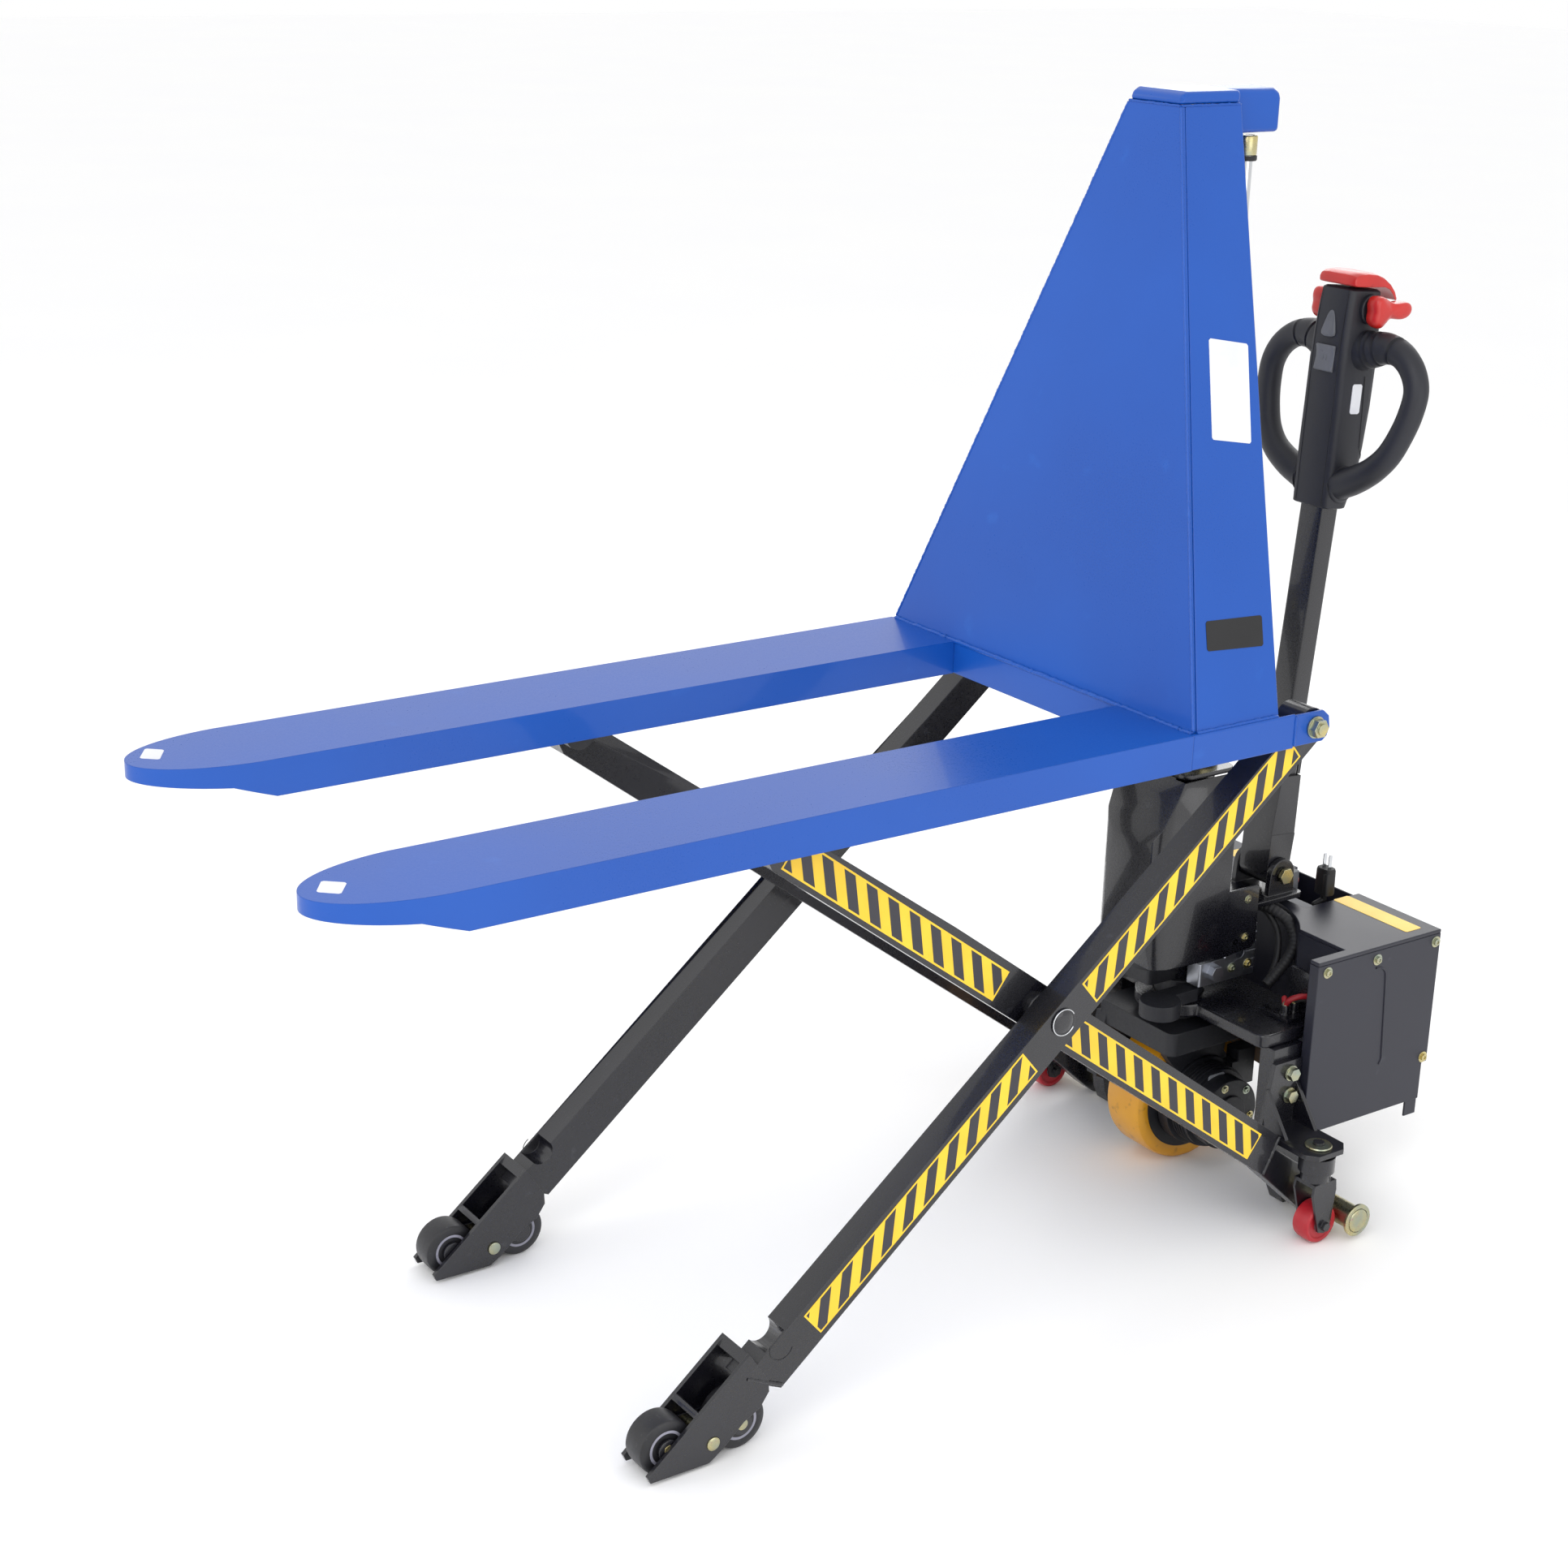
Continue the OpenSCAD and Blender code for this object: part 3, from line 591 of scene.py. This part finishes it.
CAP = [(31, 866.4), (34, 868.4), (34.5, 875), (32, 881), (25, 884.6), (8, 886.4), (-10, 885.6), (-26, 881),
       (-40, 872), (-51, 861), (-56.5, 852), (-56, 849.5), (-53.5, 849.6), (-48, 857), (-39, 864.4),
       (-28, 867.4), (-4, 866.4)]
CAP_END = ((20, 1, 0), (30, 0.992, 0.8), (34, 0.97, 2.4), (35, 0.93, 4))  # place, size and drop of the top
rings = []
for y, k, drop in [(-y, k, drop) for y, k, drop in CAP_END[::-1]] + list(CAP_END):
    rings.append([tiller(-10 + (x + 10) * k, y, z - (drop if z > 879 else drop * 0.4 if z > 870 else 0))
                  for x, z in CAP])
piece = loft("horn_cap", rings, MAT["red_plastic"], BODY["top_cap"], 50)
bevel(piece, 0.001, 2, 30)
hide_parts("top_cap")
PADDLE = [(8, 858), (14, 852), (15, 842), (11, 834), (14, 824), (9, 815), (0, 811), (-9, 812), (-16, 818),
          (-22, 827), (-34, 825), (-48, 826), (-60, 832), (-63, 842), (-57, 850), (-44, 852), (-30, 848),
          (-20, 850), (-8, 857)]
for sgn, tag in SIDES:
    rings = []
    for y, k in ((40, 0.8), (42, 0.93), (48, 0.98), (56, 1.0), (62, 0.95), (66, 0.8)):
        # the thumb hollow is on the outer face, near the middle
        rings.append([tiller(-16 + (x + 16) * k, sgn * (y - (6 if -30 < x < -6 and y > 55 else 0)),
                             838 + (z - 838) * k) for x, z in PADDLE])
    piece = loft("paddle_" + tag, rings, MAT["red_plastic"], BODY["throttle"], 60, 2)
    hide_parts("throttle")
    boss = [(0.030 * sgn, 0.021), (0.0375 * sgn, 0.021), (0.0388 * sgn, 0.0195), (0.0388 * sgn, 0.008)]
    revolve("throttle_boss_" + tag, tiller(-6, 0, 836), boss, BODY["handle_head"], MAT["grip_plastic"], "y",
            44)
axle = revolve("throttle_axle", tiller(-6, 0, 836), [(-0.0445, 0.008), (-0.044, 0.0105), (0.044, 0.0105),
                                                     (0.0445, 0.008)], BODY["throttle"], MAT["red_plastic"],
               "y", 36)
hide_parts("throttle")

piece = revolve("estop_mushroom", at(0, 0, 416), [(-0.3095, 0.0072), (-0.3215, 0.0072), (-0.3216, 0.0125),
                                                  (-0.3226, 0.0138), (-0.3246, 0.0138), (-0.327, 0.0123),
                                                  (-0.3288, 0.009), (-0.3296, 0.004)], BODY["estop_button"],
                MAT["red_plastic"], "x", 44)
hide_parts("estop_button")

TRIANGLE = [(0, 831.2), (3.5, 829.5), (6.5, 824), (10, 812), (13, 799.5), (12, 795), (7, 793), (0, 792.6),
            (-7, 793), (-12, 795), (-13, 799.5), (-10, 812), (-6.5, 824), (-3.5, 829.5)]
rings = []
for d, k in ((-12, 1), (0.2, 1), (2.2, 0.95), (2.9, 0.82), (2.7, 0.55)):
    rings.append([tiller(35.6 - 0.09 * max(z - 792, 0) + d, y * k, 808 + (z - 808) * k)
                  for y, z in TRIANGLE])
piece = loft("button_triangle", rings, MAT["grey_plastic"], BODY["triangle_button"], 50)
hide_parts("triangle_button")
rings = []
for y in (-17.4, -16.4, -9, 0, 9, 16.4, 17.4):
    e = 0.8 if abs(y) > 17 else 0
    rings.append([tiller(x, y, z) for x, z in ((25, 744.6), (35.5 - e, 744.6), (37.6 - e, 746.5),
                                               (36.4 - e, 754), (35.4 - e, 763), (36.4 - e, 772),
                                               (38.6 - e, 779.6), (36.6 - e, 781.4), (25, 781.4))])
piece = loft("button_rocker", rings, MAT["grey_plastic"], BODY["rocker_switch"], 40)
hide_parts("rocker_switch")
for y in (-3, 3):
    prism([(-0.0006, -0.004), (0.0006, -0.004), (0.0006, 0.004), (-0.0006, 0.004)], tiller(35.2, y, 764), Y,
          TILLER_Z, TILLER_X, 0.0008, MAT["grey_plastic"], "rocker_rib_%d" % (y + 3), BODY["rocker_switch"])

# ---------------------------------------------------------------- rollers and wheels
for sgn, tag in SIDES:
    for x, where in ((973, "front"), (867, "rear")):
        node = "%s_roller_%s" % (where, tag)
        centre = at(x, 0, 37)
        mm = sgn / 1000
        piece = revolve(node + ".tyre", centre, [(261.4 * mm, 0.0245), (261 * mm, 0.027),
                                                 (261.6 * mm, 0.0335), (263.6 * mm, 0.0362),
                                                 (268 * mm, 0.037), (293 * mm, 0.037), (297.4 * mm, 0.0362),
                                                 (299.4 * mm, 0.0335), (300 * mm, 0.027),
                                                 (299.6 * mm, 0.0245)], BODY[node], MAT["black_tyre"], "y",
                        72)
        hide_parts(node)
        piece = revolve(node + ".rim", centre, [(262 * mm, 0.0195), (261.2 * mm, 0.0205),
                                                (261.2 * mm, 0.0238), (262.2 * mm, 0.0244),
                                                (298.8 * mm, 0.0244), (299.8 * mm, 0.0238),
                                                (299.8 * mm, 0.0205), (299 * mm, 0.0195)], BODY[node], RIM,
                        "y", 64)
        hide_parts(node)
        piece = revolve(node + ".hub", centre, [(261.6 * mm, 0.0085), (261.8 * mm, 0.0195),
                                                (299.2 * mm, 0.0195), (299.4 * mm, 0.0085)], BODY[node],
                        MAT["cast_black"], "y", 48)
        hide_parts(node)
        # axle end with a flat, on the link plate
        flat = [(0.0075 * math.cos(t), 0.0075 * math.sin(t)) for t in map(math.radians, range(35, 335, 10))]
        prism(flat, centre + Y * 0.305 * sgn, X, Z, Y * sgn, 0.0009, MAT["zinc"],
              "axle_end_%s_%s" % (where, tag), BODY["tandem_link_" + tag], 0.0003)
    # bogie pin with a domed end, and the flush pivot cap with its spring ring
    mm = sgn / 1000
    piece = revolve("bogie_pin_" + tag, at(914, 0, 30), [(246 * mm, 0.0075), (246.8 * mm, 0.009),
                                                         (313.2 * mm, 0.009), (314.1 * mm, 0.0078),
                                                         (314.4 * mm, 0.005)], BODY["pivot_pins"],
                    MAT["zinc"], "y", 40)
    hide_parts("pivot_pins")
    piece = revolve("pivot_cap_" + tag, at(393, 0, 468), [(221 * mm, 0.012), (222 * mm, 0.014),
                                                          (311 * mm, 0.014), (311 * mm, 0.0185),
                                                          (312.6 * mm, 0.0187), (313 * mm, 0.0165),
                                                          (312.6 * mm, 0.0155), (313.6 * mm, 0.014),
                                                          (314.4 * mm, 0.008)], BODY["pivot_pins"],
                    MAT["frame_black"], "y", 56)
    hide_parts("pivot_pins")
    arc = [at(393, 313.2 * sgn, 468) + turn_by(t) * 0.0178 for t in range(-150, 151, 6)]
    piece = link("spring_ring_" + tag, sweep(arc, 0.0009, 8), MAT["chrome"], 60)
    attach(piece, BODY["pivot_pins"])
    revolve("arm_boss_" + tag, at(393, 0, 468), [(262 * mm, 0.0146), (262 * mm, 0.025), (269 * mm, 0.0245),
                                                 (270.4 * mm, 0.023), (270.4 * mm, 0.0146),
                                                 (262 * mm, 0.0146)], BODY["inner_arms"],
            MAT["frame_black"], "y", 48)
    # caster: crowned tread, ribbed hub, kingpin washer
    node = "caster_wheel_" + tag
    centre = at(-120, 0, 30)
    piece = revolve(node + ".tread", centre, [(285 * mm, 0.0215), (283.4 * mm, 0.0225), (283 * mm, 0.026),
                                              (284.4 * mm, 0.0285), (289 * mm, 0.0298), (298 * mm, 0.03),
                                              (307 * mm, 0.0298), (311.6 * mm, 0.0285), (313 * mm, 0.026),
                                              (312.6 * mm, 0.0225), (311 * mm, 0.0215)], BODY[node],
                    MAT["red_tyre"], "y", 64)
    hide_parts(node)
    piece = revolve(node + ".hub", centre, [(284 * mm, 0.0055), (283.2 * mm, 0.0105), (285.6 * mm, 0.012),
                                            (286.4 * mm, 0.0205), (285.4 * mm, 0.0215),
                                            (310.6 * mm, 0.0215), (309.6 * mm, 0.0205), (310.4 * mm, 0.012),
                                            (312.8 * mm, 0.0105), (312 * mm, 0.0055)], BODY[node],
                    MAT["grey_plastic"], "y", 48)
    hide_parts(node)
    revolve("kingpin_washer_" + tag, at(-114, sgn * 298, 0), [(0.1502, 0.0085), (0.1502, 0.019),
                                                              (0.1518, 0.0195), (0.1534, 0.0185),
                                                              (0.1536, 0.0085), (0.1502, 0.0085)], CHASSIS,
            MAT["zinc"], "z", 40)
centre = at(-140, 0, 105)
piece = revolve("drive_tyre.tread", centre, [(-0.063, 0.0855), (-0.065, 0.09), (-0.0645, 0.098),
                                             (-0.0615, 0.1032), (-0.055, 0.105), (0, 0.105),
                                             (0.0065, 0.1032), (0.0095, 0.098), (0.01, 0.09),
                                             (0.008, 0.0855)], BODY["drive_tyre"], MAT["amber_tyre"], "y",
                96)
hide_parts("drive_tyre")
bolts("wheel_bolts", [centre + Y * -0.064 + turn_by(t) * 0.047 for t in range(12, 372, 72)], -Y, 0.0075,
      0.007, BODY["drive_hub"], "zinc")
bolts("motor_bolts", [centre + Y * 0.092 + turn_by(t) * 0.046 for t in range(15, 375, 60)], Y, 0.0045,
      0.0035, STEERING, "zinc")
for i, y in enumerate((40, 46, 52, 58)):
    revolve("motor_rib_%d" % i, centre, [((y - 1) / 1000, 0.0615), ((y - 0.6) / 1000, 0.0645),
                                         ((y + 0.6) / 1000, 0.0645), ((y + 1) / 1000, 0.0615),
                                         ((y - 1) / 1000, 0.0615)], STEERING, MAT["cast_black"], "y", 72)
label("motor_plate", [at(-150, 66.4, 150), at(-118, 66.4, 150), at(-118, 66.4, 163), at(-150, 66.4, 163)],
      Y, LABEL_GREY, STEERING)

# ---------------------------------------------------------------- tower and forks
SIDE_TILT = math.radians(19.51)
SIDE_UP = Vector((0, -math.sin(SIDE_TILT), math.cos(SIDE_TILT)))
SIDE_OUT = Vector((0, math.cos(SIDE_TILT), math.sin(SIDE_TILT)))


def on_side(x, up_side):
    """A point on the tower's left face, up_side millimetres above its base."""
    return at(x, 314, 823) + SIDE_UP * (up_side / 1000)


label("tower_plate_white", [on_side(*p) for p in ((34.2, 352.6), (99.9, 364.2), (78.2, 493),
                                                  (12.6, 480.6))], SIDE_OUT, LABEL_WHITE, FRAME, 0.0006)
label("tower_plate_black", [on_side(*p) for p in ((68.1, 93.2), (164.6, 99.4), (159.3, 137.3),
                                                  (62.6, 132.7))], SIDE_OUT, PLATE_BLACK, FRAME, 0.0006)
weld("weld_front_base", at(212, -312, 823.4), at(212, 312, 823.4), FRAME, 0.0034)
for sgn, tag in SIDES:
    weld("weld_side_base_" + tag, at(62, sgn * 314.4, 823.4), at(204, sgn * 314.4, 823.4), FRAME, 0.003)
    weld("weld_corner_" + tag, at(209.5, sgn * 313.3, 826), at(62.5, sgn * 49.8, 1566), FRAME, 0.0022)
    weld("weld_cap_side_" + tag, at(-42, sgn * 50, 1567.6), at(62, sgn * 50, 1567.6), FRAME, 0.0018)
    weld("weld_ear_" + tag, at(34, sgn * 320, 780), at(34, sgn * 320, 820), FRAME, 0.0022)
    weld("weld_beam_%s" % tag, at(156, sgn * 171.6, 823), at(206, sgn * 171.6, 823), FRAME, 0.0018)
weld("weld_cap_front", at(63, -49, 1567.6), at(63, 49, 1567.6), FRAME, 0.0018)
for sgn, tag, q in ((1, "left", ((1366, 219), (1345, 237), (1364, 263), (1384, 245))), (-1, "right",
                                                                                        ((1364, 286),
                                                                                         (1346, 270),
                                                                                         (1364, 239),
                                                                                         (1383, 255)))):
    label("tip_label_" + tag, [at(x - 8, sgn * y, 823) for x, y in q], Z, LABEL_WHITE, FRAME)
revolve("rod_collar", at(-106, 0, 0), [(1.496, 0.0101), (1.496, 0.0138), (1.4975, 0.0146), (1.5205, 0.0146),
                                       (1.522, 0.0138), (1.5225, 0.0101), (1.496, 0.0101)],
        BODY["lift_rod"], MAT["zinc"], "z", 40)
revolve("rod_ring", at(-106, 0, 0), [(1.489, 0.0101), (1.489, 0.0146), (1.4905, 0.0154), (1.4955, 0.0154),
                                     (1.4957, 0.0101), (1.489, 0.0101)], BODY["lift_rod"],
        MAT["cable_rubber"], "z", 40)
for node, z, rr in (("cylinder_barrel", 776, 0.0225), ("lift_stage", 1150, 0.0165)):
    revolve("wiper_" + node, at(-106, 0, z), [(0.0002, rr), (0.002, rr + 0.0045), (0.0055, rr + 0.004),
                                              (0.0072, rr + 0.0004), (0.0002, rr)], BODY[node],
            MAT["cable_rubber"], "z", 48)

# ---------------------------------------------------------------- arms
def on_outer(sgn, along, across):
    """A point on an outer arm's outer face, in metres from its top pivot."""
    return at(-2, sgn * 311, 800) + OUTER_ALONG * along + OUTER_ACROSS * across


def on_inner(sgn, along, across):
    """A point on an inner arm's outer face, in metres from the middle pivot."""
    return at(393, sgn * 262, 468) + INNER_ALONG * along + INNER_ACROSS * across


for sgn, tag in SIDES:
    # scribed edge of the round patch below the notch
    arc = [at(816, 311.1 * sgn, 132) + turn_by(t) * 0.0172 for t in range(-165, 66, 8)]
    piece = link("arm_patch_" + tag, sweep(arc, 0.0007, 6), MAT["frame_black"], 60)
    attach(piece, BODY["outer_arms"])
    weld("arm_end_weld_" + tag, on_outer(sgn, 1.088, -0.028), on_outer(sgn, 1.112, 0.026),
         BODY["outer_arms"], 0.0028, "frame_black")
    weld("weld_lug_" + tag, on_inner(sgn, 0.566, -0.029), on_inner(sgn, 0.556, 0.029), "inner_arms", 0.003,
         "frame_black")
    revolve("hinge_washer_" + tag, at(-172, 0, 31), [(0.3300 * sgn, 0.0186), (0.3300 * sgn, 0.0245),
                                                     (0.3335 * sgn, 0.0245), (0.3345 * sgn, 0.0235),
                                                     (0.3345 * sgn, 0.0186), (0.33 * sgn, 0.0186)], CHASSIS,
            MAT["zinc"], "y", 40)

# ---------------------------------------------------------------- battery box, plug and cables
for sgn, tag in SIDES:
    bolts("box_screws_" + tag, [at(x, sgn * 230, z) for x, z in ((-172, 379), (-273, 377), (-394, 379),
                                                                 (-394, 193))], Y * sgn, 0.0058, 0.0045,
          CHASSIS, "zinc")
    groove = [at(x, sgn * 230.2, z) for x, z in ((-272, 364), (-283, 362), (-291, 355), (-294, 343),
                                                 (-298, 290), (-302, 230), (-303, 212), (-299, 204))]
    prism([(-0.012, 0), (0.012, 0), (0.012, 0.026), (-0.012, 0.026)], at(-380, sgn * 226, 101), X, Z,
          Y * sgn, 0.003, MAT["box_paint"], "box_foot_" + tag, CHASSIS, 0.0006)
    piece = link("box_groove_" + tag, sweep(spline(groove, 5), 0.0016, 8), MAT["box_paint"], 60)
    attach(piece, CHASSIS)
for name, y0, y1 in (("cover_label", 64, 212), ("cover_label_far", -170, -110)):
    label(name, [at(-349, y0, 397), at(-349, y1, 397), at(-381, y1, 397), at(-381, y0, 397)], Z, YELLOW,
          CHASSIS)
rings = []
for z, k in ((402, 0.96), (404, 1), (440, 0.96), (443.5, 0.88)):
    rings.append(disc(at(-348, 46, z), X, Y, 0.0105 * k, 0.0148 * k, 36, 3.4))
piece = loft("plug_body", rings, MAT["cable_rubber"], BODY["mains_plug"])
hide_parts("mains_plug")
rings = [disc(at(-346, 55, z), X, Y, 0.0088 * k, 0.0055 * k, 28, 4)
         for z, k in ((403, 1), (436, 1), (438, 0.8))]
loft("plug_step", rings, MAT["cable_rubber"], BODY["mains_plug"])
for y in (40.5, 51.5):
    piece = prism([(-0.0033, 0), (0.0033, 0), (0.0033, 0.0195), (0.0017, 0.0225), (-0.0017, 0.0225),
                   (-0.0033, 0.0195)], at(-348, y, 443), X, Z, Y, 0.0015, MAT["chrome"],
                  "plug_blade_%d" % y, BODY["mains_plug"], 0.0002)
    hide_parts("mains_plug")
HARNESS = (
    ("harness.wrap", 0.0078, 0.0011, ((-230, 30, 402), (-240, 52, 398), (-250, 74, 384), (-246, 92, 362),
                                      (-228, 98, 340), (-208, 98, 322), (-190, 96, 306))),
    ("harness.lead", 0.0046, 0.0004, ((-226, 22, 402), (-236, 42, 392), (-240, 62, 366), (-226, 78, 334),
                                      (-204, 86, 306))),
)
for name, radius, wrap, path in HARNESS:
    piece = cable(name, path, radius, MAT["cable_rubber"], BODY["harness"], wrap)
    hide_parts("harness")
TERMINALS = BODY["terminal_bracket"]
BATTERY_CABLES = (
    ("cable_red", RED_CABLE, ((-165, 162, 304), (-166, 170, 316), (-178, 180, 322), (-198, 190, 320),
                              (-214, 200, 326), (-226, 204, 336))),
    ("cable_red_low", RED_CABLE, ((-168, 158, 303), (-173, 151, 309), (-179, 148, 303), (-181, 150, 292))),
    ("cable_black", MAT["cable_rubber"], ((-183, 162, 304), (-188, 172, 312), (-204, 184, 308),
                                          (-222, 196, 318))),
)
for name, finish, path in BATTERY_CABLES:
    cable(name, path, 0.0042, finish, TERMINALS)
bolts("terminal_bolts", [at(-165, 162, 305), at(-183, 162, 305)], Z, 0.0042, 0.004, TERMINALS, "zinc", 1.3)
revolve("barrel_fitting", at(-106, 0, 0), [(0.655, 0.0282), (0.656, 0.0302), (0.664, 0.0302),
                                           (0.665, 0.0282), (0.655, 0.0282)], STEERING, MAT["zinc"], "z",
        48)
bolts("lid_screw", [at(-53, 0, 647)], Z, 0.005, 0.0035, STEERING, "zinc")
bolts("shroud_screws", [at(x, 66, z) for x, z in ((-168, 436), (-168, 376), (-110, 560))], Y, 0.0045, 0.003,
      STEERING, "zinc")
bolts("manifold_plugs", [at(-150, 62, 372), at(-150, 62, 330), at(-182, 62, 330)], Y, 0.0052, 0.004,
      STEERING, "zinc")
for i, z in enumerate((322, 336, 350, 364, 378)):
    weld("manifold_step_%d" % i, at(-196, 62, z), at(-176, 62, z), STEERING, 0.0006, "aluminium")

# ---------------------------------------------------------------- floor
floor_mesh = bpy.data.meshes.new("floor")
bm = bmesh.new()
bmesh.ops.create_grid(bm, x_segments=1, y_segments=1, size=30)
bm.to_mesh(floor_mesh)
bm.free()
FLOOR = material("floor", "fdfdfe", "fefefe", (0.6, 0.7), scale=1, grain=60, bump=0.01, edge=0.0)
floor = link("floor", floor_mesh, FLOOR, None)
floor.location.z = -0.0005
